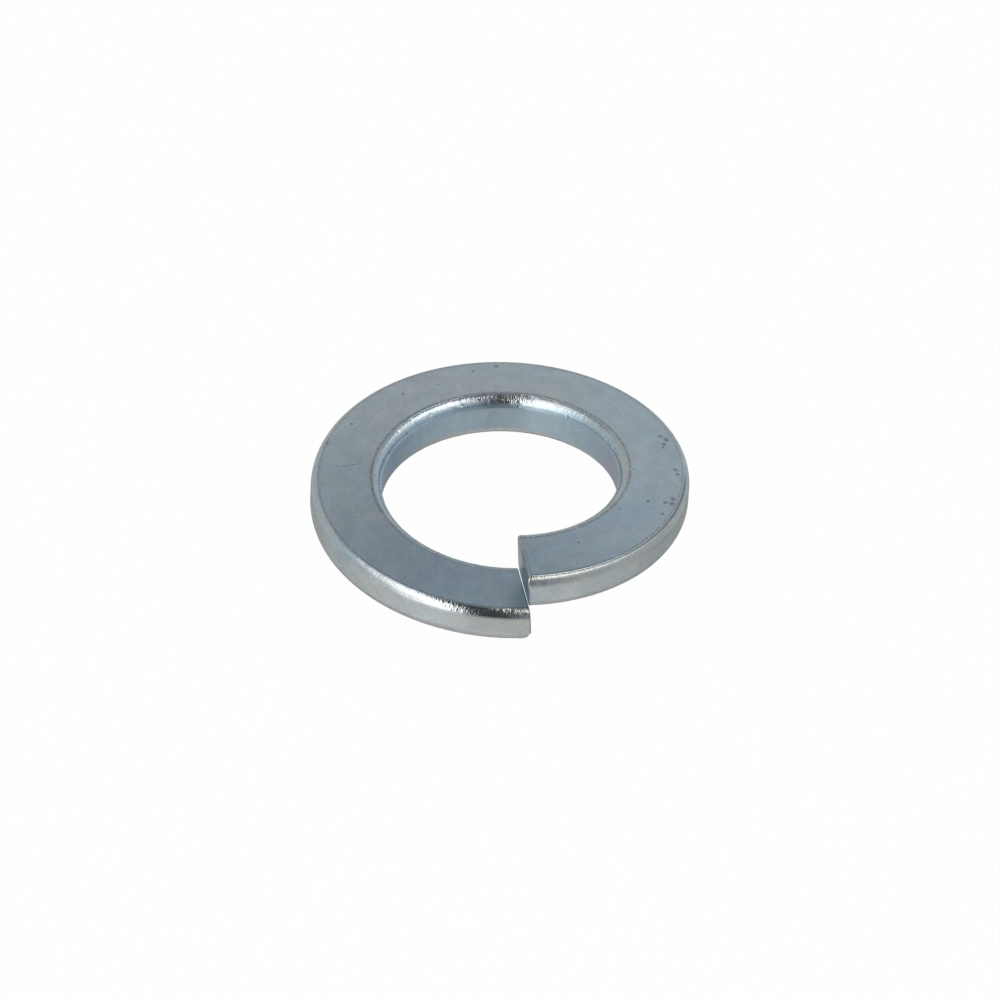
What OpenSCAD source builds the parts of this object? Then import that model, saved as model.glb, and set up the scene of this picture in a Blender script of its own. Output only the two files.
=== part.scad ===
// Spring lock washer: one turn of keystone wire, coiled edgewise into a ring,
// cut through and set so that its two ends stand apart along the bore.
// Millimetres. The bore runs along Z and the lowest point is at z = 0.

/* [Ring] */
// Diameter of the bore that the bolt passes through
bore_d = 12.7; // [11.5:0.1:13.5]
// Diameter over the rim
outer_d = 20.4; // [18.6:0.1:22.2]

/* [Wire section] */
// Thickness of the wire at the bore, where bending upsets it
bore_side_t = 2.58; // [2.2:0.02:3]
// Thickness of the wire at the rim, where bending draws it thinner
rim_side_t = 2.0; // [1.6:0.02:2.5]
// How far each rounded edge runs along its face and drops down its wall: upper at the bore
bore_top_run = 0.56; // [0.3:0.01:0.7]
bore_top_drop = 0.7; // [0.3:0.01:0.8]
// Lower edge at the bore
bore_low_run = 0.42; // [0.3:0.01:0.6]
bore_low_drop = 0.54; // [0.3:0.01:0.7]
// Upper edge at the rim
rim_top_run = 0.36; // [0.3:0.01:0.6]
rim_top_drop = 0.58; // [0.3:0.01:0.7]
// Lower edge at the rim
rim_low_run = 0.43; // [0.3:0.01:0.6]
rim_low_drop = 0.62; // [0.3:0.01:0.7]

/* [Spring set] */
// Height that the wire climbs in one full turn, clockwise seen from above
rise = 2.26; // [0.5:0.02:4]
// Direction from the bore's axis to the low end, in degrees from +X
low_end_angle = -78.5; // [-180:0.2:180]

/* [Cut ends] */
// Open width of the split, between its two parallel cut faces
split_gap = 0.03; // [0.02:0.01:2]
// Lean of the cut away from the bore's axis, in degrees
cut_lean = 4; // [-8:0.5:8]
// Turn of the cut away from a radius, in degrees
cut_turn = -2.6; // [-8:0.2:8]
// Radius round the edges of both cut faces
cut_edge_r = 0.14; // [0.05:0.01:0.24]

/* [Fineness] */
// Steps in one turn of the wire
turn_steps = 108; // [72:12:144]
// Steps round each long edge of the wire
edge_steps = 5; // [3:1:6]
// Steps round the edges of a cut face
cut_steps = 3; // [2:1:4]

/* [Hidden] */

bore_r = bore_d / 2;
rim_r = outer_d / 2;
wire_w = rim_r - bore_r;
mid_r = (bore_r + rim_r) / 2;
// Slope of the upper and lower faces, from the bore's thickness to the rim's
keystone = atan((bore_side_t - rim_side_t) / 2 / wire_w);
// Stock left on the coiled wire, that the true bore and rim take off
bore_stock = 0.006;
rim_stock = 0.012;
// Degrees of the turn over which the wire's steps slant to meet each cut
cut_blend = 40;
// Facets drawn on the bore and the rim, and what their cutters reach past the wire
round_faces = 240;
over = 1;
zinc = [0.62, 0.66, 0.68];

// Degrees of the turn that a length takes at the middle of the wire
function turned(length) = length / mid_r * 180 / PI;
// The leaning faces are parallel and the high one stands a rise above the low one
turn = 360 - turned(split_gap - rise * tan(cut_lean));

// Long edges of the wire as [side, up or down, run, drop], clockwise from the upper one at the rim
edges = [
    [1, 1, rim_top_run, rim_top_drop],
    [1, -1, rim_low_run, rim_low_drop],
    [-1, -1, bore_low_run, bore_low_drop],
    [-1, 1, bore_top_run, bore_top_drop]
];

// Half the wire's thickness at a distance from the bore's wall
function half_t(x) = bore_side_t / 2 - x * tan(keystone);

// An edge is a piece of an ellipse, from 0 at the wall to where it is parallel to the face
function face_angle(edge) = atan2(edge[3], edge[0] * edge[2] * tan(keystone));

// Centre of an edge's ellipse, so that it touches both its wall and its sloping face
function edge_centre(edge) = let (
    x = edge[0] > 0 ? wire_w + rim_stock - edge[2] : edge[2] - bore_stock,
    a = face_angle(edge)
) [x, half_t(x + edge[0] * edge[2] * cos(a)) - edge[3] * sin(a)];

// The wire's outline as [x, z], x outward from the bore's wall and z up from half thickness,
// drawn in by inset on all sides
function section(inset) = [
    for (edge = edges, i = [0 : edge_steps]) let (
        share = edge[0] * edge[1] > 0 ? 1 - i / edge_steps : i / edge_steps,
        a = share * face_angle(edge),
        centre = edge_centre(edge)
    ) [
        centre[0] + edge[0] * (edge[2] - inset) * cos(a),
        edge[1] * (centre[1] + (edge[3] - inset) * sin(a))
    ]
];

outline = section(0);
outline_size = len(outline);
lowest = min([for (p = outline) p[1]]);
highest = max([for (p = outline) p[1]]);
free_height = rise * turn / 360 + highest - lowest;

// Sections along the turn as [degrees from the low end, inset]: the cut's rounded edge
// at the low end, the plain wire, and the rounded edge at the high end
low_edge = [
    for (i = [0 : cut_steps - 1]) let (a = 90 * i / cut_steps)
        [turned(cut_edge_r * (1 - cos(a))), cut_edge_r * (1 - sin(a))]
];
plain_start = turned(cut_edge_r);
plain_step = (turn - 2 * plain_start) / turn_steps;
plain = [for (i = [0 : turn_steps]) [plain_start + plain_step * i, 0]];
high_edge = [for (i = [cut_steps - 1 : -1 : 0]) [turn - low_edge[i][0], low_edge[i][1]]];
stations = concat(low_edge, plain, high_edge);
last = len(stations) - 1;

// How far a point of the section lies ahead along the turn, to meet the slanted cut
function slant(p) = (p[0] - wire_w / 2) * tan(cut_turn) + p[1] * tan(cut_lean);

// A section's point in space, at a number of degrees along the turn
function wire_point(degrees, p) = let (
    r = bore_r + p[0],
    from_cut = min(degrees, turn - degrees),
    ahead = max(0, 1 - from_cut / cut_blend) * slant(p),
    a = low_end_angle - degrees - asin(ahead / r)
) [r * cos(a), r * sin(a), rise * degrees / 360 + p[1] - lowest];

wire_points = [for (s = stations, p = section(s[1])) wire_point(s[0], p)];

// Index of a section's point in the list of points
function at(station, i) = station * outline_size + i % outline_size;

wire_sides = [
    for (k = [0 : last - 1], i = [0 : outline_size - 1]) each [
        [at(k, i), at(k + 1, i), at(k + 1, i + 1)],
        [at(k, i), at(k + 1, i + 1), at(k, i + 1)]
    ]
];
low_face = [for (i = [1 : outline_size - 2]) [at(0, 0), at(0, i), at(0, i + 1)]];
high_face = [for (i = [1 : outline_size - 2]) [at(last, 0), at(last, i + 1), at(last, i)]];

// The coiled and cut wire, before its bore and rim are trued
module coiled_wire() {
    polyhedron(points = wire_points, faces = concat(wire_sides, low_face, high_face), convexity = 6);
}

module upright_cylinder(r) {
    translate([0, 0, -over]) cylinder(r = r, h = free_height + 2 * over, $fn = round_faces);
}

module spring_ring() {
    color(zinc)
        difference() {
            intersection() {
                coiled_wire();
                upright_cylinder(rim_r);
            }
            upright_cylinder(bore_r);
        }
}

spring_ring();
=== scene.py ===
# %% [markdown]
# A spring lock washer is one turn of hard steel wire, coiled on edge into a ring, cut through and
# set so that the ends stand apart. It is zinc plated with a clear blue finish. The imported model
# gives its size and place, so this script loads it first, and everything made here is in metres
# in the same frame. The solid itself could be shown with a better material, but its facets would
# show in the metal's reflections. So the wire is made again here from the same sizes, finer, and
# stands for the solid.

# %% Load the frame
import math
import bpy
from mathutils import Matrix, Vector


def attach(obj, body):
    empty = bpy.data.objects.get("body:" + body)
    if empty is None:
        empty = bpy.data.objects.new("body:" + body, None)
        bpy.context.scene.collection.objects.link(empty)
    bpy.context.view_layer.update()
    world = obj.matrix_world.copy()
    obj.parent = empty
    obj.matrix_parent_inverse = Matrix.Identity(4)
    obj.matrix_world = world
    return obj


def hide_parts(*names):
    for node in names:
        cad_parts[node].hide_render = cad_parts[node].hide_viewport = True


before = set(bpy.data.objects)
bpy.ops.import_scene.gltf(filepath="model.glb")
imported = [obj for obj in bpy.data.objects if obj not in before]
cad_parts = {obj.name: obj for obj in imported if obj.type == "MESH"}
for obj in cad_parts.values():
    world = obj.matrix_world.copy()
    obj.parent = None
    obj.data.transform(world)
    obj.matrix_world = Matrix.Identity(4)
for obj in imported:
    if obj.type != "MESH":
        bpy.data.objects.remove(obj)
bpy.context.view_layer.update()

# %% [markdown]
# The sizes are the solid's own, in millimetres, and MM turns them into metres. The wire is a
# keystone: bending it on edge makes it thicker at the bore and thinner at the rim. Each of its
# four long edges is a piece of an ellipse, so it has two sizes: how far it runs along the face,
# and how far it drops down the wall.

# %% Sizes of the washer
MM = 0.001
BORE_R = 6.35
RIM_R = 10.2
BORE_SIDE_T = 2.58
RIM_SIDE_T = 2.0
RIM_TOP_RUN, RIM_TOP_DROP = 0.36, 0.58
RIM_LOW_RUN, RIM_LOW_DROP = 0.43, 0.62
BORE_LOW_RUN, BORE_LOW_DROP = 0.42, 0.54
BORE_TOP_RUN, BORE_TOP_DROP = 0.56, 0.7
RISE = 2.26
LOW_END_ANGLE = -78.5
SPLIT_GAP = 0.03
CUT_LEAN = 4
CUT_TURN = -2.6
CUT_BLEND = 40

wire_width = RIM_R - BORE_R
mid_r = (BORE_R + RIM_R) / 2
split = SPLIT_GAP - RISE * math.tan(math.radians(CUT_LEAN))
turn = 360 - math.degrees(split / mid_r)
wire_length = math.radians(turn) * mid_r
print(f"Wire {wire_length:.2f} mm long at its middle, {turn:.2f} degrees round")

# %% [markdown]
# The camera looks along +Y from above, with a long lens, and is turned a little in its mount,
# as the tilted outline of the ring shows. Blender's helpers could aim it at the ring, but a
# fixed direction, turn and distance repeat the same picture every time. The lens is long and
# far away, so the ring shows nearly without perspective.

# %% Camera
CAMERA_ELEVATION = math.radians(38.83)
CAMERA_TURN = math.radians(3.28)
CAMERA_DISTANCE = 0.408
LENS = 272.2
SENSOR = 36
NEAREST = 0.01
AIM = Vector((0.055, -0.403, 2.058)) * MM

forward = Vector((0, math.cos(CAMERA_ELEVATION), -math.sin(CAMERA_ELEVATION)))
level = Vector((1, 0, 0))
upright = Vector((0, math.sin(CAMERA_ELEVATION), math.cos(CAMERA_ELEVATION)))
side = level * math.cos(CAMERA_TURN) + upright * math.sin(CAMERA_TURN)
top = upright * math.cos(CAMERA_TURN) - level * math.sin(CAMERA_TURN)

lens = bpy.data.cameras.new("camera")
lens.lens = LENS
lens.sensor_width = SENSOR
lens.clip_start = NEAREST
camera = bpy.data.objects.new("camera", lens)
camera.matrix_world = Matrix((side, top, -forward)).transposed().to_4x4()
camera.location = AIM - forward * CAMERA_DISTANCE
bpy.context.scene.collection.objects.link(camera)
bpy.context.scene.camera = camera
bpy.context.scene.view_settings.view_transform = "Standard"
print(f"Camera {1000 * CAMERA_DISTANCE:.0f} mm away, lens {LENS} mm")

# %% [markdown]
# Every node tree below is built in code. A few short helpers keep that readable: they set a
# socket to a number or join it to another socket, make a Math node, multiply several values,
# let a number rise smoothly from 0 to 1 between two limits, and mix two colours.

# %% Helpers for node trees
def feed(tree, socket, value):
    """Joins a socket to another, or sets it to a plain value."""
    if isinstance(value, bpy.types.NodeSocket):
        tree.links.new(value, socket)
    else:
        socket.default_value = value


def calc(tree, operation, *values):
    """The result of a Math node."""
    node = tree.nodes.new("ShaderNodeMath")
    node.operation = operation
    for socket, value in zip(node.inputs, values):
        feed(tree, socket, value)
    return node.outputs[0]


def product(tree, first, *others):
    """Several values multiplied."""
    for value in others:
        first = calc(tree, "MULTIPLY", first, value)
    return first


def smooth(tree, value, start, end):
    """0 before start and 1 after end, with a soft step between them."""
    node = tree.nodes.new("ShaderNodeMapRange")
    node.interpolation_type = "SMOOTHSTEP"
    feed(tree, node.inputs["Value"], value)
    feed(tree, node.inputs["From Min"], start)
    feed(tree, node.inputs["From Max"], end)
    return node.outputs["Result"]


def band(tree, value, start, end, soft):
    """1 between two limits and 0 outside them, with soft borders."""
    rises = smooth(tree, value, start - soft, start + soft)
    falls = smooth(tree, value, end + soft, end - soft)
    return product(tree, rises, falls)


def blend_colours(tree, share, first, second, kind="MIX"):
    """Two colours mixed by a share."""
    node = tree.nodes.new("ShaderNodeMix")
    node.data_type = "RGBA"
    node.blend_type = kind
    feed(tree, node.inputs[0], share)
    feed(tree, node.inputs[6], first)
    feed(tree, node.inputs[7], second)
    return node.outputs[2]


print("Helpers for node trees are ready")

# %% [markdown]
# Shiny metal shows what stands round it, so the studio matters as much as the metal. Here it is
# a pale tent with a light on the left and one on the right, which nearly meet overhead. Between
# them is the dark opening that the camera looks in by, and below is the pale sheet. Lamps could
# stand for the lights, but the ring is so small that a direction is enough, so the world itself
# is painted. The walls come first: a direction's height and its turn from the camera's side, in
# degrees, tell which wall it meets. The back wall darkens upwards.

# %% Walls of the studio
BACK_LEFT = (0.53, 0.552, 0.557, 1)
BACK_RIGHT = (0.505, 0.572, 0.632, 1)
BACK_HIGH = (0.07, 0.135, 0.225, 1)
LEFT = (0.56, 0.61, 0.64, 1)
RIGHT = (0.52, 0.56, 0.59, 1)
RIGHT_NEAR = (0.31, 0.34, 0.37, 1)
BACK_HALVES_MEET = (-0.12, 0.12)
BACK_DARKENS = (40.5, 54.5)
LEFT_TO_BACK = (-80, -140)
NEAR_TO_RIGHT = (14, 60)
RIGHT_TO_BACK = (85, 125)
LEFT_TO_RIGHT = (-15, 15)

world = bpy.data.worlds.new("studio")
bpy.context.scene.world = world
world.use_nodes = True
tent = world.node_tree
tent.nodes.clear()
direction = tent.nodes.new("ShaderNodeTexCoord").outputs["Generated"]
parts = tent.nodes.new("ShaderNodeSeparateXYZ")
tent.links.new(direction, parts.inputs[0])
to_right, to_back, to_roof = parts.outputs
to_camera = calc(tent, "MULTIPLY", to_back, -1)
azimuth = calc(tent, "DEGREES", calc(tent, "ARCTAN2", to_right, to_camera))
elevation = calc(tent, "DEGREES", calc(tent, "ARCSINE", to_roof))

back = blend_colours(tent, smooth(tent, to_right, *BACK_HALVES_MEET), BACK_LEFT, BACK_RIGHT)
back = blend_colours(tent, smooth(tent, elevation, *BACK_DARKENS), back, BACK_HIGH)
left_wall = blend_colours(tent, smooth(tent, azimuth, *LEFT_TO_BACK), LEFT, back)
near_right = blend_colours(tent, smooth(tent, azimuth, *NEAR_TO_RIGHT), RIGHT_NEAR, RIGHT)
right_wall = blend_colours(tent, smooth(tent, azimuth, *RIGHT_TO_BACK), near_right, back)
walls = blend_colours(tent, smooth(tent, azimuth, *LEFT_TO_RIGHT), left_wall, right_wall)
print("Walls painted with", len(tent.nodes), "nodes")

# %% [markdown]
# Each light grows brighter up its wall and ends at the border of the opening, which narrows
# towards the back. The rounded edges of the ring gather both lights into bright stretches, and
# show the opening between them as a dark gap. Each border has three numbers: where it is at the
# sides, how it widens towards the camera, and where it stops.

# %% Lights of the studio
LEFT_LIGHT = (2.7, 2.64, 2.56, 1)
RIGHT_LIGHT = (2.85, 2.8, 2.74, 1)
LEFT_BORDER = (0.24, 0.3, 0.295)
RIGHT_BORDER = (0.19, 0.2, 0.27)
LEFT_BORDER_SOFT = (-0.05, 0.06)
RIGHT_BORDER_SOFT = (-0.08, 0.06)
LEFT_LEAN = 1.8
LEFT_GROWS = (-0.6, 1.95)
GROWS_BESIDE = (12, 84)
GROWS_BEHIND = (66, 88)
BESIDE_TO_BEHIND = (75, 150)


def opening_border(near, widening, widest):
    """How far to one side the opening reaches, by how far a direction points to the camera."""
    return calc(tent, "MINIMUM", calc(tent, "MULTIPLY_ADD", to_camera, widening, near), widest)


to_left = calc(tent, "MULTIPLY", to_right, -1)
past_left = calc(tent, "SUBTRACT", to_left, opening_border(*LEFT_BORDER))
past_left = smooth(tent, past_left, *LEFT_BORDER_SOFT)
left_growth = calc(tent, "MULTIPLY_ADD", to_camera, LEFT_LEAN, calc(tent, "ADD", to_right, to_roof))
left_growth = smooth(tent, left_growth, *LEFT_GROWS)
walls = blend_colours(tent, product(tent, left_growth, past_left), walls, LEFT_LIGHT)

past_right = calc(tent, "SUBTRACT", to_right, opening_border(*RIGHT_BORDER))
past_right = smooth(tent, past_right, *RIGHT_BORDER_SOFT)
beside = smooth(tent, elevation, *GROWS_BESIDE)
behind = smooth(tent, elevation, *GROWS_BEHIND)
to_behind = smooth(tent, calc(tent, "ABSOLUTE", azimuth), *BESIDE_TO_BEHIND)
right_growth = calc(tent, "MULTIPLY_ADD", calc(tent, "SUBTRACT", behind, beside), to_behind, beside)
walls = blend_colours(tent, product(tent, right_growth, past_right), walls, RIGHT_LIGHT)
print("Lights painted, at most", max(RIGHT_LIGHT), "times as bright as white paper")

# %% [markdown]
# The opening lies between the borders of the two lights, from a little behind the ring's zenith
# to the camera. The sheet below is brighter on the camera's side. The camera sees none of this,
# because Light Path gives it a plain white surround.

# %% Opening, sheet and white surround
OPENING = (0.06, 0.065, 0.075, 1)
SHEET_FRONT = (0.745, 0.74, 0.72, 1)
SHEET_BEHIND = (0.37, 0.38, 0.38, 1)
WHITE = (0.991, 0.991, 0.991, 1)
OPENING_BEGINS = (-0.55, -0.3)
SHEET_LEAN = -0.2
SHEET_BRIGHTENS = (-0.95, 0.65)
HORIZON = (-24, -34)

not_left = calc(tent, "SUBTRACT", 1, past_left)
not_right = calc(tent, "SUBTRACT", 1, past_right)
opening = product(tent, not_left, not_right, smooth(tent, to_camera, *OPENING_BEGINS))
walls = blend_colours(tent, opening, walls, OPENING)
sheet_growth = calc(tent, "MULTIPLY_ADD", to_right, SHEET_LEAN, to_camera)
sheet = blend_colours(tent, smooth(tent, sheet_growth, *SHEET_BRIGHTENS), SHEET_BEHIND, SHEET_FRONT)
walls = blend_colours(tent, smooth(tent, elevation, *HORIZON), walls, sheet)

light_path = tent.nodes.new("ShaderNodeLightPath")
studio_light = tent.nodes.new("ShaderNodeBackground")
tent.links.new(walls, studio_light.inputs["Color"])
plain_white = tent.nodes.new("ShaderNodeBackground")
plain_white.inputs["Color"].default_value = WHITE
seen = tent.nodes.new("ShaderNodeMixShader")
tent.links.new(light_path.outputs["Is Camera Ray"], seen.inputs[0])
tent.links.new(studio_light.outputs[0], seen.inputs[1])
tent.links.new(plain_white.outputs[0], seen.inputs[2])
world_output = tent.nodes.new("ShaderNodeOutputWorld")
tent.links.new(seen.outputs[0], world_output.inputs["Surface"])
print("Studio painted with", len(tent.nodes), "nodes")

# %% [markdown]
# The washer lies on a plain pale sheet that runs out of the picture. To the camera it is almost
# white, with a trace of the ring's shadow. It is hidden from reflections, so the metal mirrors the
# pale sheet that the studio has below.

# %% Floor
FLOOR_SIZE = 1.6
FLOOR_DROP = 0.02 * MM
SHEET = (0.86, 0.86, 0.86, 1)
GLOW = (1, 1, 1, 1)
WHITE_TO_CAMERA = 0.98


def pale_sheet():
    """Matt paper that glows white to the camera."""
    paper = bpy.data.materials.new("pale_sheet")
    paper.use_nodes = True
    tree = paper.node_tree
    tree.nodes.clear()
    diffuse = tree.nodes.new("ShaderNodeBsdfDiffuse")
    diffuse.inputs["Color"].default_value = SHEET
    glow = tree.nodes.new("ShaderNodeEmission")
    glow.inputs["Color"].default_value = GLOW
    path = tree.nodes.new("ShaderNodeLightPath")
    share = calc(tree, "MULTIPLY", path.outputs["Is Camera Ray"], WHITE_TO_CAMERA)
    mix = tree.nodes.new("ShaderNodeMixShader")
    tree.links.new(share, mix.inputs[0])
    tree.links.new(diffuse.outputs[0], mix.inputs[1])
    tree.links.new(glow.outputs[0], mix.inputs[2])
    output = tree.nodes.new("ShaderNodeOutputMaterial")
    tree.links.new(mix.outputs[0], output.inputs["Surface"])
    return paper


def make_floor():
    """A square sheet under the ring's lowest point."""
    half = FLOOR_SIZE / 2
    corners = [(-half, -half), (half, -half), (half, half), (-half, half)]
    mesh = bpy.data.meshes.new("floor")
    mesh.from_pydata([(x, y, -FLOOR_DROP) for x, y in corners], [], [(0, 1, 2, 3)])
    mesh.materials.append(pale_sheet())
    floor = bpy.data.objects.new("floor", mesh)
    bpy.context.scene.collection.objects.link(floor)
    floor.visible_glossy = False
    return floor


floor = make_floor()
print("Floor", FLOOR_SIZE, "m square")

# %% [markdown]
# The wire's shape follows one rule, so Geometry Nodes make it, in the order of the workshop: the
# section, the straight bar, the bending. The tree needs a few more helpers. One starts it with
# its named sizes, two keep a value on the points and read it back, two take a vector apart and
# put one together, and the last picks one of several values by number.

# %% Helpers for geometry trees
def new_tree(name, sizes):
    """A geometry tree that takes the given sizes as named inputs."""
    tree = bpy.data.node_groups.new(name, "GeometryNodeTree")
    for size in sizes:
        tree.interface.new_socket(size, in_out="INPUT", socket_type="NodeSocketFloat")
    for slot in ("Wire Material", "Cut Material"):
        tree.interface.new_socket(slot, in_out="INPUT", socket_type="NodeSocketMaterial")
    tree.interface.new_socket("Geometry", in_out="OUTPUT", socket_type="NodeSocketGeometry")
    return tree


def store(tree, geometry, name, value, kind="FLOAT"):
    """Keeps a value on every point of a shape under a name."""
    node = tree.nodes.new("GeometryNodeStoreNamedAttribute")
    node.data_type = kind
    tree.links.new(geometry, node.inputs["Geometry"])
    node.inputs["Name"].default_value = name
    feed(tree, node.inputs["Value"], value)
    return node.outputs["Geometry"]


def recall(tree, name):
    """A value kept on the points under a name."""
    node = tree.nodes.new("GeometryNodeInputNamedAttribute")
    node.data_type = "FLOAT"
    node.inputs["Name"].default_value = name
    return node.outputs["Attribute"]


def split_vector(tree, vector):
    """The x, y and z of a vector."""
    node = tree.nodes.new("ShaderNodeSeparateXYZ")
    tree.links.new(vector, node.inputs[0])
    return node.outputs


def join_vector(tree, x, y, z):
    """A vector of three numbers."""
    node = tree.nodes.new("ShaderNodeCombineXYZ")
    for socket, value in zip(node.inputs, (x, y, z)):
        feed(tree, socket, value)
    return node.outputs[0]


def choose(tree, index, values):
    """One of several values, by number."""
    node = tree.nodes.new("GeometryNodeIndexSwitch")
    node.data_type = "FLOAT"
    for _ in range(len(values) - 2):
        node.index_switch_items.new()
    tree.links.new(index, node.inputs["Index"])
    for item, value in enumerate(values):
        feed(tree, node.inputs[item + 1], value)
    return node.outputs[0]


print("Helpers for geometry trees are ready")

# %% [markdown]
# First comes the section. A circle of points is only a supply of points here: each is moved to
# its place on one of the four rounded edges, and the straight faces appear between them. The
# points are then spread evenly. They remember where they are across the wire and up from its
# middle, which way is out, and how rounded the wire is there, because the bending step and the
# materials need all of that.

# %% Section of the wire
SECTION_POINTS = 160
EDGE_POINTS = 32
EDGES = ("Rim Top", "Rim Low", "Bore Low", "Bore Top")
EDGE_SIDES = (1, 1, -1, -1)
EDGE_LEVELS = (1, -1, -1, 1)
ROUNDED_LEAN = (0.1, 0.24)


def edge_centre(tree, size, side, run, drop, slope, face_angle):
    """Centre of an edge's ellipse, across and up, so that it touches its wall and its face."""
    wall = calc(tree, "MULTIPLY", size["Wire Width"], calc(tree, "GREATER_THAN", side, 0))
    centre = calc(tree, "SUBTRACT", wall, run)
    touch = calc(tree, "MULTIPLY_ADD", run, calc(tree, "COSINE", face_angle), centre)
    half = calc(tree, "DIVIDE", size["Bore Side Thickness"], 2)
    half = calc(tree, "SUBTRACT", half, calc(tree, "MULTIPLY", touch, slope))
    above_centre = calc(tree, "MULTIPLY", drop, calc(tree, "SINE", face_angle))
    return centre, calc(tree, "SUBTRACT", half, above_centre)


def edge_place(tree, size, index):
    """Where a numbered point lies on the four rounded edges: up and across."""
    edge = calc(tree, "FLOOR", calc(tree, "DIVIDE", index, EDGE_POINTS))
    side = choose(tree, edge, EDGE_SIDES)
    level = choose(tree, edge, EDGE_LEVELS)
    run = calc(tree, "MULTIPLY", side, choose(tree, edge, [size[name + " Run"] for name in EDGES]))
    drop = choose(tree, edge, [size[name + " Drop"] for name in EDGES])
    narrowing = calc(tree, "SUBTRACT", size["Bore Side Thickness"], size["Rim Side Thickness"])
    slope = calc(tree, "DIVIDE", calc(tree, "DIVIDE", narrowing, 2), size["Wire Width"])
    face_angle = calc(tree, "ARCTAN2", drop, calc(tree, "MULTIPLY", run, slope))
    centre, centre_up = edge_centre(tree, size, side, run, drop, slope, face_angle)
    number = calc(tree, "SUBTRACT", index, calc(tree, "MULTIPLY", edge, EDGE_POINTS))
    share = calc(tree, "DIVIDE", number, EDGE_POINTS - 1)
    falling = calc(tree, "GREATER_THAN", calc(tree, "MULTIPLY", side, level), 0)
    turned_back = calc(tree, "SUBTRACT", 1, calc(tree, "MULTIPLY", share, 2))
    share = calc(tree, "MULTIPLY_ADD", falling, turned_back, share)
    angle = calc(tree, "MULTIPLY", share, face_angle)
    across = calc(tree, "MULTIPLY_ADD", run, calc(tree, "COSINE", angle), centre)
    up = calc(tree, "MULTIPLY_ADD", drop, calc(tree, "SINE", angle), centre_up)
    return calc(tree, "MULTIPLY", level, up), across


def section_curve(tree, size):
    """The keystone outline, x up through the thickness and y out from the bore."""
    ring = tree.nodes.new("GeometryNodeCurvePrimitiveCircle")
    ring.inputs["Resolution"].default_value = len(EDGES) * EDGE_POINTS
    ring.inputs["Radius"].default_value = MM
    index = tree.nodes.new("GeometryNodeInputIndex").outputs[0]
    up, across = edge_place(tree, size, index)
    outline = tree.nodes.new("GeometryNodeSetPosition")
    tree.links.new(ring.outputs["Curve"], outline.inputs["Geometry"])
    tree.links.new(join_vector(tree, up, across, 0), outline.inputs["Position"])
    even = tree.nodes.new("GeometryNodeResampleCurve")
    tree.links.new(outline.outputs[0], even.inputs["Curve"])
    even.inputs["Count"].default_value = SECTION_POINTS
    up, across, _ = split_vector(tree, tree.nodes.new("GeometryNodeInputPosition").outputs[0])
    tangent = split_vector(tree, tree.nodes.new("GeometryNodeInputTangent").outputs[0])
    curve = store(tree, even.outputs[0], "across", across)
    curve = store(tree, curve, "up", up)
    curve = store(tree, curve, "out_across", calc(tree, "MULTIPLY", tangent[0], -1))
    curve = store(tree, curve, "out_up", tangent[1])
    lean = calc(tree, "ABSOLUTE", calc(tree, "MULTIPLY", tangent[0], tangent[1]))
    return store(tree, curve, "rounded", smooth(tree, lean, *ROUNDED_LEAN))


print("Section of", SECTION_POINTS, "points")

# %% [markdown]
# The straight bar is the section swept along a line of stations. Nothing is bent yet: the sweep
# only joins the points up and closes the two ends. Each station then gets its place along the
# turn. Stations crowd together at both ends, where the section is drawn in along a quarter
# circle. A shear rolls the wire over on the side where it enters and leaves a sharp edge where
# it comes out, so each cut's edge is round on its outer side, away from the other end, and
# nearly sharp on the side that faces it. The low end is rolled over more than the high end.

# %% Stations along the wire
STATIONS = 600
EDGE_STATIONS = 7
FREE_EDGE = 0.36
FACING_EDGE = 0.06
HIGH_END_SHARE = 0.45
LOW_END_FREE = (0, -0.4)
HIGH_END_FREE = (-0.3, -0.95)


def straight_bar(tree, section):
    """The section swept along a line, each point knowing the number of its station."""
    line = tree.nodes.new("GeometryNodeCurvePrimitiveLine")
    line.inputs["Start"].default_value = (0, 0, 0)
    line.inputs["End"].default_value = (0, 0, -1)
    stations = tree.nodes.new("GeometryNodeResampleCurve")
    tree.links.new(line.outputs[0], stations.inputs["Curve"])
    stations.inputs["Count"].default_value = STATIONS
    index = tree.nodes.new("GeometryNodeInputIndex").outputs[0]
    rail = store(tree, stations.outputs[0], "station", index)
    sweep = tree.nodes.new("GeometryNodeCurveToMesh")
    tree.links.new(rail, sweep.inputs["Curve"])
    tree.links.new(section, sweep.inputs["Profile Curve"])
    sweep.inputs["Fill Caps"].default_value = True
    return sweep.outputs["Mesh"]


def cut_edge(tree, size, low_end):
    """The radius of the cut's edge, larger where a point faces away from the other end."""
    to_other_end = calc(tree, "MULTIPLY_ADD", low_end, 2, -1)
    towards_other = calc(tree, "MULTIPLY", recall(tree, "out_up"), to_other_end)
    begins, full = [
        calc(tree, "MULTIPLY_ADD", low_end, at_low - at_high, at_high)
        for at_low, at_high in zip(LOW_END_FREE, HIGH_END_FREE)
    ]
    free = smooth(tree, towards_other, begins, full)
    share = calc(tree, "MULTIPLY_ADD", low_end, 1 - HIGH_END_SHARE, HIGH_END_SHARE)
    span = calc(tree, "SUBTRACT", size["Free Edge"], size["Facing Edge"])
    return calc(tree, "MULTIPLY_ADD", product(tree, free, share), span, size["Facing Edge"])


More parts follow.
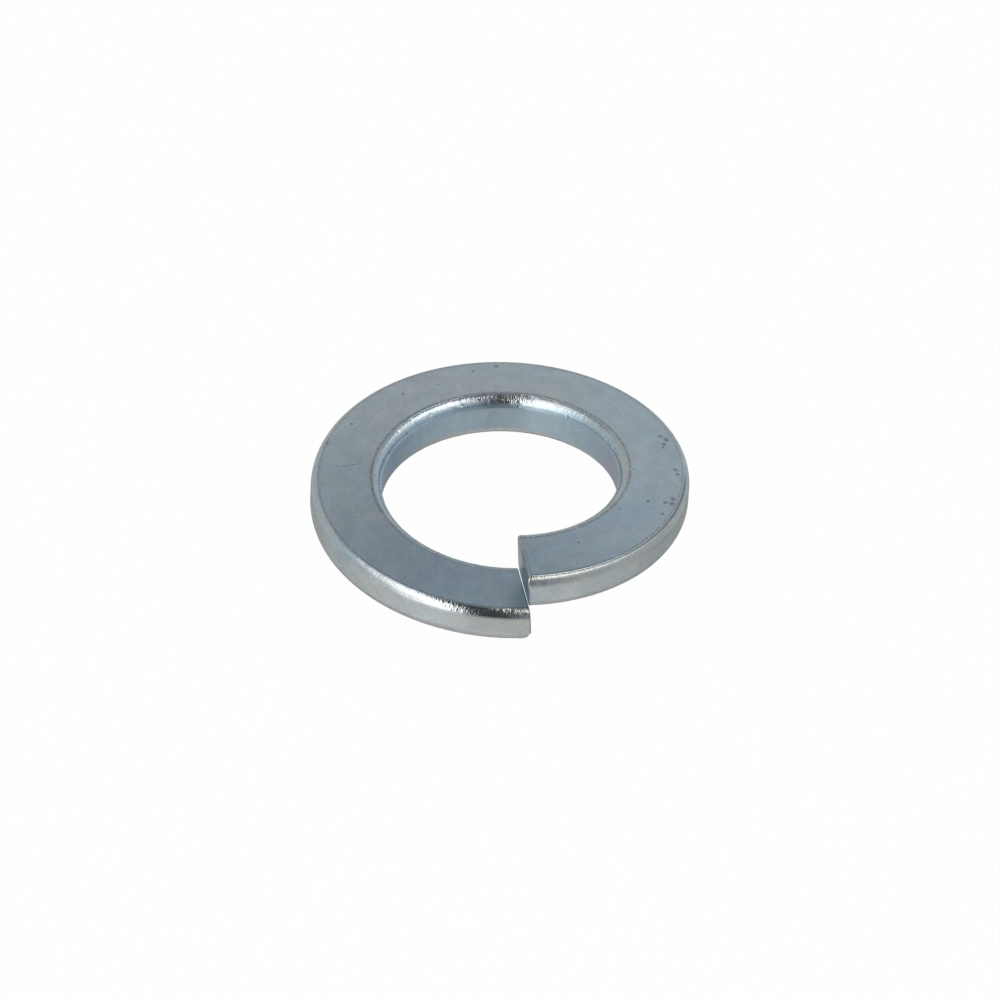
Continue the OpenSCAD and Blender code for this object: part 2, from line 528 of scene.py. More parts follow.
def place_stations(tree, size):
    """How far each point is along the wire, and from its nearer cut, and how far it is drawn in."""
    station = recall(tree, "station")
    from_far_end = calc(tree, "SUBTRACT", STATIONS - 1, station)
    nearer = calc(tree, "MINIMUM", station, from_far_end)
    low_end = calc(tree, "LESS_THAN", station, STATIONS / 2)
    edge = cut_edge(tree, size, low_end)
    share = calc(tree, "MINIMUM", calc(tree, "DIVIDE", nearer, EDGE_STATIONS), 1)
    angle = calc(tree, "MULTIPLY", share, math.pi / 2)
    drawn_in = product(tree, calc(tree, "SUBTRACT", 1, calc(tree, "SINE", angle)), edge)
    along_edge = product(tree, calc(tree, "SUBTRACT", 1, calc(tree, "COSINE", angle)), edge)
    half = calc(tree, "DIVIDE", size["Length"], 2)
    plain = calc(tree, "SUBTRACT", half, edge)
    step = calc(tree, "DIVIDE", plain, (STATIONS - 1) / 2 - EDGE_STATIONS)
    plain_steps = calc(tree, "MAXIMUM", calc(tree, "SUBTRACT", nearer, EDGE_STATIONS), 0)
    from_cut = calc(tree, "MULTIPLY_ADD", plain_steps, step, along_edge)
    from_high_end = calc(tree, "SUBTRACT", size["Length"], from_cut)
    twice = calc(tree, "SUBTRACT", calc(tree, "MULTIPLY", from_cut, 2), size["Length"])
    along = calc(tree, "MULTIPLY_ADD", twice, low_end, from_high_end)
    return along, from_cut, drawn_in, calc(tree, "SUBTRACT", 1, low_end)


print("Bar of", STATIONS, "stations, cut edges of", FACING_EDGE, "to", FREE_EDGE, "mm")

# %% [markdown]
# The rolled surface is never perfectly even, so before the bar is bent every point sinks by a
# few thousandths of a millimetre, by a noise, and the rounded edges get small nicks. Both only
# ever go inwards: the washer keeps its size.

# %% Uneven surface
WANDER = 0.007
WANDER_SIZE = 0.75
WANDER_DETAIL = 3
NICK_DEPTH = 0.04
NICK_SIZE = 0.22
NICK_DETAIL = 1
NICK_LIMITS = (0.6, 0.8)


def noise(tree, place, scale, detail, roughness=0.5):
    """A noise between 0 and 1 at a place."""
    node = tree.nodes.new("ShaderNodeTexNoise")
    tree.links.new(place, node.inputs["Vector"])
    node.inputs["Scale"].default_value = scale
    node.inputs["Detail"].default_value = detail
    node.inputs["Roughness"].default_value = roughness
    return node.outputs[0]


def drawn_section(tree, size, along, drawn_in):
    """Each point's place in the section, drawn in at the cuts and sunk by wander and nicks."""
    across, up = recall(tree, "across"), recall(tree, "up")
    straight = join_vector(tree, along, across, up)
    wander = noise(tree, straight, 1 / (WANDER_SIZE * MM), WANDER_DETAIL)
    nicks = noise(tree, straight, 1 / (NICK_SIZE * MM), NICK_DETAIL)
    nicks = product(tree, smooth(tree, nicks, *NICK_LIMITS), recall(tree, "rounded"))
    sink = calc(tree, "MULTIPLY", wander, size["Wander"])
    sink = calc(tree, "MULTIPLY_ADD", nicks, size["Nick Depth"], sink)
    inset = calc(tree, "ADD", drawn_in, sink)
    across = calc(tree, "SUBTRACT", across, product(tree, recall(tree, "out_across"), inset))
    up = calc(tree, "SUBTRACT", up, product(tree, recall(tree, "out_up"), inset))
    return across, up


print("Surface sinks by up to", WANDER, "mm, nicks by", NICK_DEPTH, "mm")

# %% [markdown]
# Bending is where the bar becomes a washer. A point's distance along the wire becomes an angle
# round the bore, clockwise seen from above, and the wire climbs by its rise in one turn. Near
# the ends the sections slant, so that both cuts lean and turn. Each end adds a little turn of its
# own, because a real shear doesn't leave them quite alike.

# %% Bending the wire
LOW_END_TURN = 1.0
HIGH_END_TURN = 2.4
HIGH_END_REACH = 0.02


def slant_ahead(tree, size, across, up):
    """How far a point lies ahead along the turn, to meet the leaning and turned cut."""
    high_end = recall(tree, "high_end")
    from_middle = calc(tree, "SUBTRACT", across, calc(tree, "DIVIDE", size["Wire Width"], 2))
    more_turn = calc(tree, "SUBTRACT", size["High End Turn"], size["Low End Turn"])
    more_turn = calc(tree, "MULTIPLY_ADD", high_end, more_turn, size["Low End Turn"])
    cut_turn = calc(tree, "ADD", size["Cut Turn"], more_turn)
    slant = calc(tree, "MULTIPLY", from_middle, calc(tree, "TANGENT", cut_turn))
    slant = calc(tree, "MULTIPLY_ADD", high_end, size["High End Reach"], slant)
    return calc(tree, "MULTIPLY_ADD", up, calc(tree, "TANGENT", size["Cut Lean"]), slant)


def bent_positions(tree, size, lowest, along, from_cut, drawn_in):
    """Every point's place in the coiled and set washer."""
    across, up = drawn_section(tree, size, along, drawn_in)
    slant = slant_ahead(tree, size, across, up)
    radius = calc(tree, "ADD", size["Bore Radius"], across)
    mid = calc(tree, "ADD", size["Bore Radius"], calc(tree, "DIVIDE", size["Wire Width"], 2))
    angle = calc(tree, "DIVIDE", along, mid)
    faded = calc(tree, "DIVIDE", calc(tree, "DIVIDE", from_cut, mid), size["Cut Blend"])
    ahead = product(tree, slant, calc(tree, "MAXIMUM", calc(tree, "SUBTRACT", 1, faded), 0))
    swing = calc(tree, "ARCSINE", calc(tree, "DIVIDE", ahead, radius))
    azimuth = calc(tree, "SUBTRACT", calc(tree, "SUBTRACT", size["Low End Angle"], angle), swing)
    climb = calc(tree, "MULTIPLY", size["Rise"], calc(tree, "DIVIDE", angle, math.tau))
    height = calc(tree, "SUBTRACT", calc(tree, "ADD", climb, up), lowest)
    x = calc(tree, "MULTIPLY", radius, calc(tree, "COSINE", azimuth))
    y = calc(tree, "MULTIPLY", radius, calc(tree, "SINE", azimuth))
    return join_vector(tree, x, y, height)


print("Cuts turned by", CUT_TURN + LOW_END_TURN, "and", round(CUT_TURN + HIGH_END_TURN, 1), "degrees")

# %% [markdown]
# The tree puts these steps in a row. It also keeps each point's place in the straight bar as an
# attribute in millimetres, along, across and up, so that the materials can let grain follow the
# wire round the bend, and marks can be placed as on a straight sample. The sweep leaves the
# faces pointing inwards, so they are flipped. The end faces get the material of a cut, and
# everything else the material of rolled wire.

# %% The whole tree
CUT_FINISH_REACH = 0.07
SIZES = {
    "Bore Radius": BORE_R * MM,
    "Wire Width": wire_width * MM,
    "Bore Side Thickness": BORE_SIDE_T * MM,
    "Rim Side Thickness": RIM_SIDE_T * MM,
    "Bore Top Run": BORE_TOP_RUN * MM,
    "Bore Top Drop": BORE_TOP_DROP * MM,
    "Bore Low Run": BORE_LOW_RUN * MM,
    "Bore Low Drop": BORE_LOW_DROP * MM,
    "Rim Top Run": RIM_TOP_RUN * MM,
    "Rim Top Drop": RIM_TOP_DROP * MM,
    "Rim Low Run": RIM_LOW_RUN * MM,
    "Rim Low Drop": RIM_LOW_DROP * MM,
    "Rise": RISE * MM,
    "Length": wire_length * MM,
    "Low End Angle": math.radians(LOW_END_ANGLE),
    "Cut Lean": math.radians(CUT_LEAN),
    "Cut Turn": math.radians(CUT_TURN),
    "Cut Blend": math.radians(CUT_BLEND),
    "Free Edge": FREE_EDGE * MM,
    "Facing Edge": FACING_EDGE * MM,
    "Low End Turn": math.radians(LOW_END_TURN),
    "High End Turn": math.radians(HIGH_END_TURN),
    "High End Reach": HIGH_END_REACH * MM,
    "Wander": WANDER * MM,
    "Nick Depth": NICK_DEPTH * MM,
}


def kept_for_materials(tree, bar, along, from_cut):
    """The bar with its points' places in millimetres, for the materials."""
    straight = [
        calc(tree, "MULTIPLY", value, 1 / MM)
        for value in (along, recall(tree, "across"), recall(tree, "up"))
    ]
    bar = store(tree, bar, "straight_mm", join_vector(tree, *straight), "FLOAT_VECTOR")
    return store(tree, bar, "from_cut_mm", calc(tree, "MULTIPLY", from_cut, 1 / MM))


def finish_faces(tree, size, coil):
    """Turns the faces outwards and gives the wire and its cuts their materials."""
    outward = tree.nodes.new("GeometryNodeFlipFaces")
    tree.links.new(coil, outward.inputs["Mesh"])
    real = tree.nodes.new("GeometryNodeRealizeInstances")
    tree.links.new(outward.outputs[0], real.inputs[0])
    rolled = tree.nodes.new("GeometryNodeSetMaterial")
    tree.links.new(real.outputs[0], rolled.inputs["Geometry"])
    tree.links.new(size["Wire Material"], rolled.inputs["Material"])
    near_cut = calc(tree, "LESS_THAN", recall(tree, "from_cut"), CUT_FINISH_REACH * MM)
    cut = tree.nodes.new("GeometryNodeSetMaterial")
    tree.links.new(rolled.outputs[0], cut.inputs["Geometry"])
    tree.links.new(near_cut, cut.inputs["Selection"])
    tree.links.new(size["Cut Material"], cut.inputs["Material"])
    return cut.outputs[0]


def build_wire_tree():
    """The tree that coils a keystone wire into a spring washer."""
    tree = new_tree("coiled wire", SIZES)
    inputs = tree.nodes.new("NodeGroupInput")
    size = {socket.name: socket for socket in inputs.outputs if socket.name}
    section = section_curve(tree, size)
    lowest_point = tree.nodes.new("GeometryNodeAttributeStatistic")
    tree.links.new(section, lowest_point.inputs["Geometry"])
    feed(tree, lowest_point.inputs["Attribute"], recall(tree, "up"))
    bar = straight_bar(tree, section)
    along, from_cut, drawn_in, high_end = place_stations(tree, size)
    bar = store(tree, bar, "along", along)
    bar = store(tree, bar, "from_cut", from_cut)
    bar = store(tree, bar, "high_end", high_end)
    along, from_cut = recall(tree, "along"), recall(tree, "from_cut")
    bent = bent_positions(tree, size, lowest_point.outputs["Min"], along, from_cut, drawn_in)
    bar = kept_for_materials(tree, bar, along, from_cut)
    coil = tree.nodes.new("GeometryNodeSetPosition")
    tree.links.new(bar, coil.inputs["Geometry"])
    tree.links.new(bent, coil.inputs["Position"])
    output = tree.nodes.new("NodeGroupOutput")
    tree.links.new(finish_faces(tree, size, coil.outputs[0]), output.inputs["Geometry"])
    return tree


wire_tree = build_wire_tree()
print("Tree of", len(wire_tree.nodes), "nodes with", len(SIZES), "sizes")

# %% [markdown]
# Two finishes cover the washer, and they share their effects as shader node groups, each built
# once and placed in both materials with its own values. A group has named sockets, so a helper
# makes them. The second helper stretches a place, so that a noise runs along the wire.

# %% Helpers for shader groups
def new_group(name, inputs, outputs):
    """A shader group with named sockets, and its input sockets by name."""
    group = bpy.data.node_groups.new(name, "ShaderNodeTree")
    kinds = {"value": "NodeSocketFloat", "vector": "NodeSocketVector", "colour": "NodeSocketColor"}
    for socket, kind in inputs.items():
        group.interface.new_socket(socket, in_out="INPUT", socket_type=kinds[kind])
    for socket, kind in outputs.items():
        group.interface.new_socket(socket, in_out="OUTPUT", socket_type=kinds[kind])
    entry = group.nodes.new("NodeGroupInput")
    leave = group.nodes.new("NodeGroupOutput")
    return group, {s.name: s for s in entry.outputs if s.name}, leave


def scaled(tree, place, factors):
    """A place stretched by three factors."""
    node = tree.nodes.new("ShaderNodeVectorMath")
    node.operation = "MULTIPLY"
    tree.links.new(place, node.inputs[0])
    node.inputs[1].default_value = factors
    return node.outputs[0]


print("Helpers for shader groups are ready")

# %% [markdown]
# The first group is the tint of a clear blue zinc finish: a thin film that is blue, straw,
# violet or teal in soft patches. Each film has a colour to multiply the metal by, the scale of
# its patches and how they are stretched along, across and up. A noise's own numbers are named
# too: its scale, where it isn't given already, its detail and its roughness.

# %% Tint of the zinc
FILMS = (
    ((0.92, 0.99, 1.06, 1), 0.5, (0.8, 1.0, 1)),
    ((1.06, 1.02, 0.93, 1), 0.42, (0.7, 0.8, 1)),
    ((0.98, 0.97, 1.02, 1), 0.9, (0.7, 1.2, 1)),
    ((0.94, 1.03, 1.0, 1), 1.3, (0.8, 1.1, 1)),
)
FILM_NOISE = (4, 0.6)
FILM_LIMITS = (0.44, 0.7)


def build_tint_group():
    """Soft patches of film colour over the plain metal."""
    group, given, leave = new_group(
        "zinc tint",
        {"Place": "vector", "Metal": "colour", "Amount": "value"},
        {"Color": "colour"},
    )
    colour = given["Metal"]
    for tint, scale, stretch in FILMS:
        place = scaled(group, given["Place"], stretch)
        spots = smooth(group, noise(group, place, scale, *FILM_NOISE), *FILM_LIMITS)
        share = product(group, spots, given["Amount"])
        tinted = blend_colours(group, 1, given["Metal"], tint, "MULTIPLY")
        colour = blend_colours(group, share, colour, tinted)
    group.links.new(colour, leave.inputs["Color"])
    return group


tint_group = build_tint_group()
print("Tint of", len(FILMS), "films")

# %% [markdown]
# The second group is the grain, as a depth below the smooth surface. The faces have faint roller
# marks along the wire, and the rounded edges are hammered by the barrel, so they glitter. A fine
# frosting lies over everything, and is also given out by itself, for speckles in the colour.

# %% Grain of the surface
ROLLER_STRETCH = (0.25, 1.5, 1.5)
ROLLER_NOISE = (6, 3, 0.6)
HAMMER_STRETCH = (1, 0.7, 0.7)
HAMMER_NOISE = (11, 2, 0.5)
FROSTING_NOISE = (12, 3, 0.8)
FROSTING_DEPTH = 0.015


def build_grain_group():
    """Depth below the smooth surface: stretched roller marks, fine frosting, hammered edges."""
    group, given, leave = new_group(
        "rolled grain",
        {"Place": "vector", "Rounded": "value", "Roller Marks": "value", "Hammering": "value"},
        {"Depth": "value", "Fine": "value"},
    )
    marks = noise(group, scaled(group, given["Place"], ROLLER_STRETCH), *ROLLER_NOISE)
    hammered = noise(group, scaled(group, given["Place"], HAMMER_STRETCH), *HAMMER_NOISE)
    fine = noise(group, given["Place"], *FROSTING_NOISE)
    depth = product(group, marks, given["Roller Marks"])
    hammering = product(group, given["Hammering"], given["Rounded"])
    depth = calc(group, "MULTIPLY_ADD", hammered, hammering, depth)
    depth = calc(group, "MULTIPLY_ADD", fine, FROSTING_DEPTH, depth)
    group.links.new(depth, leave.inputs["Depth"])
    group.links.new(fine, leave.inputs["Fine"])
    return group


grain_group = build_grain_group()
print("Grain with", len(grain_group.nodes), "nodes")

# %% [markdown]
# The third group draws one mark, a small pit with a ragged outline, at a place of its own on the
# upper face. It is placed once for each pit.

# %% One pit
RAGGED = 0.42
RAGGED_MIDDLE = 0.2
RAGGED_NOISE = (8, 3, 0.7)
PIT_HEART = 0.5
PIT_OUTLINE = 1.3


def build_mark_group():
    """One small pit at a place on the straight wire's upper face, as a mask."""
    group, given, leave = new_group(
        "mark",
        {"Place": "vector", "Along": "value", "Across": "value", "Size": "value"},
        {"Mask": "value"},
    )
    along, across, up = split_vector(group, given["Place"])
    ragged = product(group, noise(group, given["Place"], *RAGGED_NOISE), RAGGED)
    off_along = calc(group, "SUBTRACT", along, given["Along"])
    off_across = calc(group, "SUBTRACT", across, given["Across"])
    squares = [calc(group, "POWER", off, 2) for off in (off_along, off_across)]
    away = calc(group, "SQRT", calc(group, "ADD", *squares))
    away = calc(group, "ADD", away, calc(group, "SUBTRACT", ragged, RAGGED_MIDDLE))
    heart = product(group, given["Size"], PIT_HEART)
    outline = product(group, given["Size"], PIT_OUTLINE)
    mask = product(group, smooth(group, away, outline, heart), calc(group, "GREATER_THAN", up, 0))
    group.links.new(mask, leave.inputs["Mask"])
    return group


mark_group = build_mark_group()
print("Pit with", len(mark_group.nodes), "nodes")

# %% [markdown]
# A few pits lie where this washer has them, and one faint scratch crosses its upper face. Each
# pit is given by how many degrees round from the low end it is, how far out as a share of the
# outer radius, and its size in millimetres. Random pits would be quicker, but these are what
# tells this washer from the next.

# %% Where the pits lie
MARKS = (
    (259, 0.905, 0.13),
    (261.5, 0.925, 0.16),
    (263.5, 0.9, 0.12),
    (265.5, 0.885, 0.1),
    (262, 0.875, 0.09),
    (278, 0.925, 0.12),
    (280.5, 0.935, 0.1),
    (280, 0.70, 0.08),
    (294, 0.935, 0.15),
    (296.5, 0.94, 0.16),
    (297, 0.905, 0.12),
    (299, 0.82, 0.1),
    (303, 0.925, 0.1),
    (180, 0.90, 0.1),
    (188, 0.93, 0.14),
    (166, 0.83, 0.08),
    (152, 0.86, 0.1),
    (150, 0.8, 0.08),
    (140, 0.84, 0.08),
    (128, 0.9, 0.09),
    (116, 0.96, 0.1),
    (90, 0.68, 0.1),
    (70, 0.7, 0.08),
    (310, 0.72, 0.08),
    (338, 0.78, 0.09),
)
SCRATCH_DEGREES = 104
SCRATCH_OUT = 0.87
SCRATCH_LEAN = 0.305
SCRATCH_STRENGTH = 0.45
SCRATCH_FADES = (0.07, 0.02)
SCRATCH_ACROSS = (1.2, 2.4)
SCRATCH_SOFTNESS = 0.2


def mm_round(degrees):
    """How far along the straight wire a number of degrees from the low end is."""
    return math.radians(degrees) * mid_r


def use_group(tree, group, **values):
    """Places a shared group in a material. A word's underscore stands for a space."""
    node = tree.nodes.new("ShaderNodeGroup")
    node.node_tree = group
    for name, value in values.items():
        feed(tree, node.inputs[name.replace("_", " ")], value)
    return node.outputs


def scratch_mask(tree, place):
    """A faint straight scratch across the upper face on the left."""
    along, across, up = split_vector(tree, place)
    start = mm_round(SCRATCH_DEGREES) + SCRATCH_OUT * RIM_R * SCRATCH_LEAN
    line = calc(tree, "MULTIPLY_ADD", calc(tree, "ADD", across, BORE_R), -SCRATCH_LEAN, start)
    off_line = calc(tree, "ABSOLUTE", calc(tree, "SUBTRACT", along, line))
    thin = smooth(tree, off_line, *SCRATCH_FADES)
    piece = band(tree, across, *SCRATCH_ACROSS, SCRATCH_SOFTNESS)
    on_top = calc(tree, "GREATER_THAN", up, 0)
    return product(tree, thin, piece, on_top, SCRATCH_STRENGTH)


def pit_mask(tree, place):
    """All pits and the scratch."""
    pits = scratch_mask(tree, place)
    for degrees, share, size in MARKS:
        along, across = mm_round(degrees), share * RIM_R - BORE_R
        mark = use_group(tree, mark_group, Place=place, Along=along, Across=across, Size=size)
        pits = calc(tree, "MAXIMUM", mark["Mask"], pits)
    return pits


print(len(MARKS), "pits and a scratch")

# %% [markdown]
# Plating is thinner and brownish along the borders of the upper face, where it turns into the
# rounded edges, and along the high end's cut. A noise breaks these lines up, as wear does, and
# near the low end the line at the bore is fainter.

# %% Worn borders
BORDER_COLOUR = (0.32, 0.27, 0.25, 1)
BORDER_WIDTH = 0.07
BORE_BORDER_WIDTH = 1.6 * BORDER_WIDTH
RIM_BORDER_SHARE = 0.65
CUT_BORDER_SHARE = 0.6
FAINT_TO_FULL = (45, 85)
BORDER_OVER = 0.02
BORE_BORDER_SOFT = 0.07
RIM_BORDER_SOFT = 0.06
CUT_BORDER_FADES = (0.22, 0.12)
CUT_BORDER_HEIGHT = (0.3, 0.8)
CUT_BORDER_STOPS = 0.2
WORN_NOISE = (7, 3, 0.8)
WORN_LIMITS = (0.34, 0.58)

rim_border = wire_width - RIM_TOP_RUN


def read_attribute(tree, name):
    """The outputs of an attribute that the wire carries."""
    node = tree.nodes.new("ShaderNodeAttribute")
    node.attribute_name = name
    return node.outputs


def high_cut_border(tree, along, across, up):
    """1 beside the high end's cut, on the upper face."""
    near_cut = smooth(tree, read_attribute(tree, "from_cut_mm")["Fac"], *CUT_BORDER_FADES)
    before_rim = smooth(tree, across, rim_border, rim_border - CUT_BORDER_STOPS)
    on_face = product(tree, smooth(tree, up, *CUT_BORDER_HEIGHT), before_rim)
    high_half = calc(tree, "GREATER_THAN", along, wire_length / 2)
    return product(tree, near_cut, on_face, high_half)


def border_mask(tree, place):
    """1 on the borders of the face and at the high end's cut, broken up like worn plating."""
    along, across, up = split_vector(tree, place)
    start, end = BORE_TOP_RUN - BORDER_OVER, BORE_TOP_RUN + BORE_BORDER_WIDTH
    at_bore = band(tree, across, start, end, BORE_BORDER_SOFT)
    faint, full = [mm_round(degrees) for degrees in FAINT_TO_FULL]
    past_low_end = smooth(tree, along, faint, full)
    at_bore = product(tree, at_bore, calc(tree, "MULTIPLY_ADD", past_low_end, 0.5, 0.5))
    start, end = rim_border - BORDER_WIDTH, rim_border + BORDER_OVER
    at_rim = band(tree, across, start, end, RIM_BORDER_SOFT)
    mask = calc(tree, "MAXIMUM", at_bore, product(tree, at_rim, RIM_BORDER_SHARE))
    at_high_cut = product(tree, high_cut_border(tree, along, across, up), CUT_BORDER_SHARE)
    worn = smooth(tree, noise(tree, place, *WORN_NOISE), *WORN_LIMITS)
    return product(tree, calc(tree, "MAXIMUM", mask, at_high_cut), worn)


print(f"Borders {BORDER_WIDTH} mm wide at the rim, {BORE_BORDER_WIDTH:.2f} mm at the bore")

# %% [markdown]
# Some stretches of this washer have colours of their own. The bore's wall is darker and bluer,
# blue on the left and violet on the right: painted shade, for the shadowed sheet that it mirrors
# inside the ring. The edge above it is teal, and the rim is a little warmer near the low end. The
# lower edges are painted darker, as painted shade near the sheet. The bore's shade and the films
# multiply the metal where their masks say so, and the lower edges' grey is mixed over it.

# %% Films and painted shade of single stretches
# BORE_SHADE and its blue and violet stretches are painted shade: the bore's wall mirrors the shadowed
# sheet inside the ring.
BORE_SHADE = (0.7, 0.81, 0.9, 1)
BORE_SHADE_BLUE = (0.6, 0.76, 0.97, 1)
BORE_SHADE_VIOLET = (0.84, 0.8, 0.98, 1)
TEAL_FILM = (0.86, 0.98, 1.06, 1)
RIM_FILM = (1.03, 0.995, 0.965, 1)
# Painted shade: the lower rounded edges get a darker grey, as if in shade near the sheet.
LOW_EDGE_SHADE = (0.5, 0.51, 0.515, 1)
BLUE_STRETCH = (84, 134)
VIOLET_STRETCH = (254, 284)
FILM_SOFTNESS = 12
RIM_FILM_ENDS = (28, 10)
ON_BORE = (0.3, 0.1)
ABOVE_BORE = (0.2, 0.05)
AT_RIM = (3.4, 3.6)
UPPER_HALF = (0.2, 0.5)
LOWER_HALF = (-0.3, -0.7)


def on_stretch(tree, along, stretch):
    """1 between two numbers of degrees from the low end."""
    start, end = [mm_round(degrees) for degrees in stretch]
    return band(tree, along, start, end, mm_round(FILM_SOFTNESS))


def films_and_shade(tree, place, rounded, metal):
    """The metal with the films and the painted shade of single stretches over it."""
    along, across, up = split_vector(tree, place)
    not_rounded = calc(tree, "SUBTRACT", 1, rounded)
    on_bore = product(tree, smooth(tree, across, *ON_BORE), not_rounded)
    upper_half = smooth(tree, up, *UPPER_HALF)
    above_bore = product(tree, smooth(tree, across, *ABOVE_BORE), upper_half, rounded)
    rim_start, rim_end = [mm_round(degrees) for degrees in RIM_FILM_ENDS]
    on_rim = product(tree, smooth(tree, along, rim_start, rim_end), smooth(tree, across, *AT_RIM))
    # Painted shade on the lower rounded edges.
    low_edge_shade = product(tree, rounded, smooth(tree, up, *LOWER_HALF))
    # Painted shade on the bore's wall, bluer on the left and violet on the right.
    bore_shade = blend_colours(tree, on_stretch(tree, along, BLUE_STRETCH), BORE_SHADE, BORE_SHADE_BLUE)
    bore_shade = blend_colours(tree, on_stretch(tree, along, VIOLET_STRETCH), bore_shade, BORE_SHADE_VIOLET)
    colour = metal
    for mask, film in ((on_bore, bore_shade), (above_bore, TEAL_FILM), (on_rim, RIM_FILM)):
        filmed = blend_colours(tree, 1, metal, film, "MULTIPLY")
        colour = blend_colours(tree, mask, colour, filmed)
    return blend_colours(tree, low_edge_shade, colour, LOW_EDGE_SHADE)


print("Films on the bore: blue over", BLUE_STRETCH, "degrees, violet over", VIOLET_STRETCH)

# %% [markdown]
# Along the last quarter before the high end, the rim's upper edge is painted grey and darker:
# painted shade where it mirrors little of the light on the right, dark just past the border,
# lighter further down.

# %% Painted shade on the rim's edge
# Two greys of painted shade: dark just past the border, lighter further down.
RIM_SHADE_DARK = (0.22, 0.225, 0.23, 1)
RIM_SHADE_LIGHT = (0.55, 0.55, 0.54, 1)
RIM_SHADE_STRETCH = (282, 366)
RIM_SHADE_SOFTNESS = 1
RIM_SHADE_BEGINS = (0.04, 0.1)
RIM_SHADE_LIGHTENS = (0.12, 0.2)
RIM_SHADE_HEIGHT = (0.3, 0.5)


def rim_edge_shaded(tree, place, metal):
    """The metal with the painted shade of the rim's upper edge."""
    along, across, up = split_vector(tree, place)
    start, end = [mm_round(degrees) for degrees in RIM_SHADE_STRETCH]
    past_border = smooth(tree, across, *(rim_border + past for past in RIM_SHADE_BEGINS))
    stretch = band(tree, along, start, end, RIM_SHADE_SOFTNESS)
    mask = product(tree, stretch, past_border, smooth(tree, up, *RIM_SHADE_HEIGHT))
    further_down = smooth(tree, across, *(rim_border + past for past in RIM_SHADE_LIGHTENS))
    return blend_colours(tree, mask, metal, blend_colours(tree, further_down, RIM_SHADE_DARK, RIM_SHADE_LIGHT))


# Where the painted shade on the rim's upper edge begins.
print("Dull from", RIM_SHADE_STRETCH[0], "degrees on")

# %% [markdown]
# The two materials put all of this together. Zinc is a metal, so its colour is in its
# reflection. The rounded edges are polished, so they are less rough. The grain and the pits go
# into a Bump node as a depth, inverted, so that they sink in. The cut faces are marked deeper but
# hammered less, and their colour turns blue and dark towards the rim: painted shade, where the
# cut faces lie in shade.

# %% The two finishes
ZINC = (0.56, 0.60, 0.62, 1)
CUT_ZINC = (0.62, 0.69, 0.68, 1)
# CUT_SHADE_BLUE is painted shade: the cut faces darken to it towards the rim, where they lie in
# shade.
CUT_SHADE_BLUE = (0.25, 0.36, 0.43, 1)
PIT_COLOUR = (0.22, 0.21, 0.22, 1)
PIT_SHARE = 0.75
PIT_DEPTH = 0.3
BORDER_SHARE = 0.95
SPECKLE = 0.8
CLOUDS = 0.5
CLOUD_NOISE = (1.1, 5, 0.75)
ROUGHNESS_SPREAD = 0.15
EDGE_POLISH = -0.2
POLISH_BEGINS = (0.5, 1)
PAST_BORE = (0.03, 0.15)
TOWARDS_RIM = (0.9, 1.9)


def speckled(tree, place, fine, colour):
    """A colour made lighter and darker by the frosting and by soft clouds."""
    shade = calc(tree, "MULTIPLY_ADD", calc(tree, "SUBTRACT", fine, 0.5), SPECKLE, 1)
    clouds = calc(tree, "SUBTRACT", noise(tree, place, *CLOUD_NOISE), 0.5)
    shade = calc(tree, "MULTIPLY_ADD", clouds, CLOUDS, shade)
    node = tree.nodes.new("ShaderNodeVectorMath")
    node.operation = "SCALE"
    tree.links.new(colour, node.inputs[0])
    tree.links.new(shade, node.inputs["Scale"])
    return node.outputs[0]


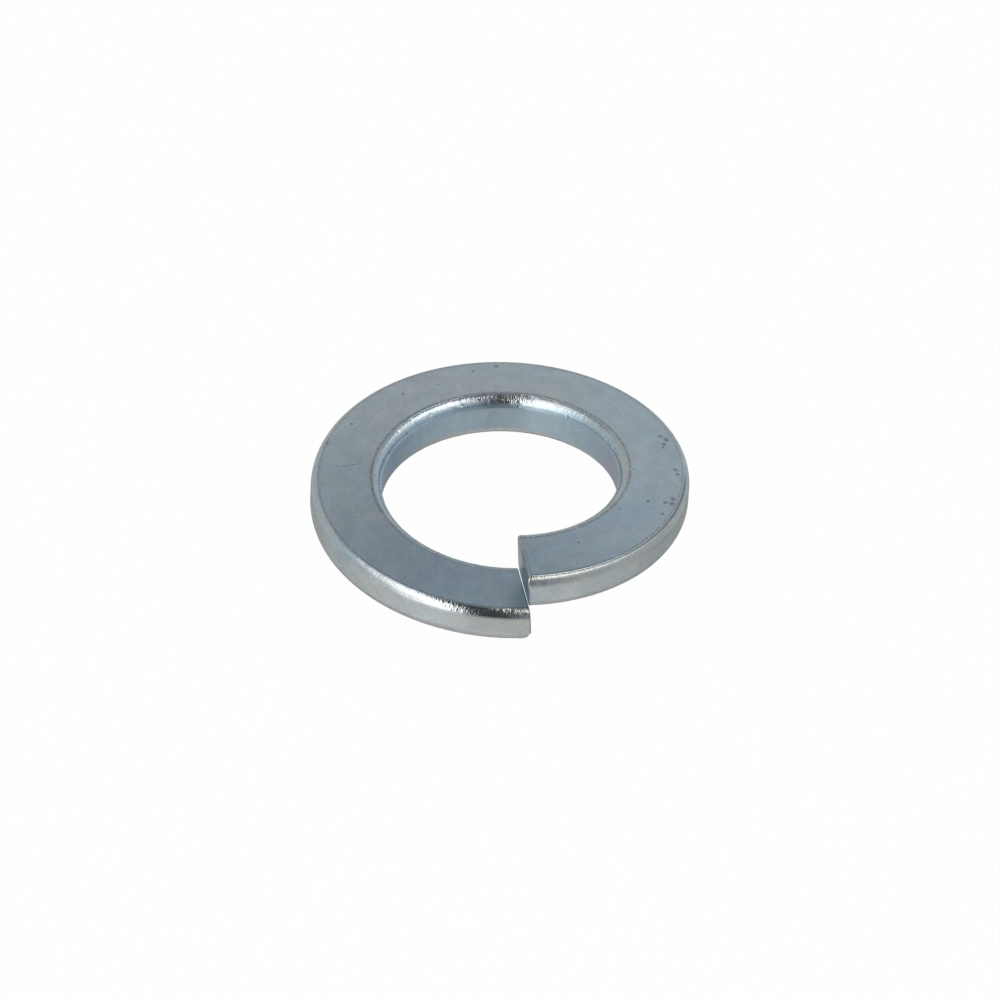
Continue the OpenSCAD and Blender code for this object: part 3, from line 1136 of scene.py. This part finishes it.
def zinc_material(name, metal, at_rim, roughness, hammering, marks, bump_depth, tint):
    """Plated steel with its tint, grain, borders, pits and painted shade. The metal may change
    towards the rim, which gives the cut faces their painted shade.
    """
    material = bpy.data.materials.new(name)
    material.use_nodes = True
    tree = material.node_tree
    shader = tree.nodes["Principled BSDF"]
    shader.inputs["Metallic"].default_value = 1
    place = read_attribute(tree, "straight_mm")["Vector"]
    rounded = read_attribute(tree, "rounded")["Fac"]
    across = split_vector(tree, place)[1]
    past_bore = smooth(tree, across, *PAST_BORE)
    polished = product(tree, smooth(tree, rounded, *POLISH_BEGINS), past_bore)
    grain = use_group(
        tree, grain_group, Place=place, Rounded=polished, Roller_Marks=marks, Hammering=hammering
    )
    pits = pit_mask(tree, place)

    # Towards the rim the cut faces take their painted shade; the rolled wire keeps its zinc.
    colour = blend_colours(tree, smooth(tree, across, *TOWARDS_RIM), metal, at_rim)
    colour = films_and_shade(tree, place, rounded, colour)
    # Painted shade on the rim's upper edge near the high end.
    colour = rim_edge_shaded(tree, place, colour)
    colour = use_group(tree, tint_group, Place=place, Metal=colour, Amount=tint)["Color"]
    colour = speckled(tree, place, grain["Fine"], colour)
    borders = product(tree, border_mask(tree, place), BORDER_SHARE)
    colour = blend_colours(tree, borders, colour, BORDER_COLOUR)
    colour = blend_colours(tree, product(tree, pits, PIT_SHARE), colour, PIT_COLOUR)
    tree.links.new(colour, shader.inputs["Base Color"])

    fine = calc(tree, "SUBTRACT", grain["Fine"], 0.5)
    rough = calc(tree, "MULTIPLY_ADD", fine, ROUGHNESS_SPREAD, roughness)
    rough = calc(tree, "MULTIPLY_ADD", polished, EDGE_POLISH, rough)
    tree.links.new(rough, shader.inputs["Roughness"])

    bump = tree.nodes.new("ShaderNodeBump")
    bump.invert = True
    bump.inputs["Distance"].default_value = bump_depth * MM
    depth = calc(tree, "MULTIPLY_ADD", pits, PIT_DEPTH, grain["Depth"])
    tree.links.new(depth, bump.inputs["Height"])
    tree.links.new(bump.outputs[0], shader.inputs["Normal"])
    return material


rolled_zinc = zinc_material(
    "rolled_zinc",
    metal=ZINC,
    at_rim=ZINC,
    roughness=0.32,
    hammering=0.5,
    marks=0.04,
    bump_depth=0.035,
    tint=0.85,
)
cut_zinc = zinc_material(
    "cut_zinc",
    metal=CUT_ZINC,
    at_rim=CUT_SHADE_BLUE,
    roughness=0.3,
    hammering=0.2,
    marks=0.1,
    bump_depth=0.03,
    tint=1,
)
print("Finishes with", len(rolled_zinc.node_tree.nodes), "nodes each")

# %% [markdown]
# The tree now goes on an object as a modifier with its sizes set, and its result is kept as a
# plain mesh. The piece rides on the one body and stands for the solid. The end faces stay flat,
# and everything else is shaded smooth.

# %% The washer
def make_washer():
    """Runs the tree once and keeps the mesh."""
    carrier = bpy.data.objects.new("coil", bpy.data.meshes.new("coil"))
    bpy.context.scene.collection.objects.link(carrier)
    modifier = carrier.modifiers.new("coil", "NODES")
    modifier.node_group = wire_tree
    values = dict(SIZES)
    values["Wire Material"] = rolled_zinc
    values["Cut Material"] = cut_zinc
    for item in wire_tree.interface.items_tree:
        if item.in_out == "INPUT":
            modifier[item.identifier] = values[item.name]
    bpy.context.view_layer.update()
    shape = carrier.evaluated_get(bpy.context.evaluated_depsgraph_get())
    mesh = bpy.data.meshes.new_from_object(shape)
    mesh.name = "washer"
    bpy.data.objects.remove(carrier)
    washer = bpy.data.objects.new("washer", mesh)
    bpy.context.scene.collection.objects.link(washer)
    mesh.polygons.foreach_set("use_smooth", [len(face.vertices) == 4 for face in mesh.polygons])
    return washer


washer = make_washer()
print("Washer:", len(washer.data.polygons), "faces", [m.name for m in washer.data.materials])
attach(washer, "root")
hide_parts("spring_ring")
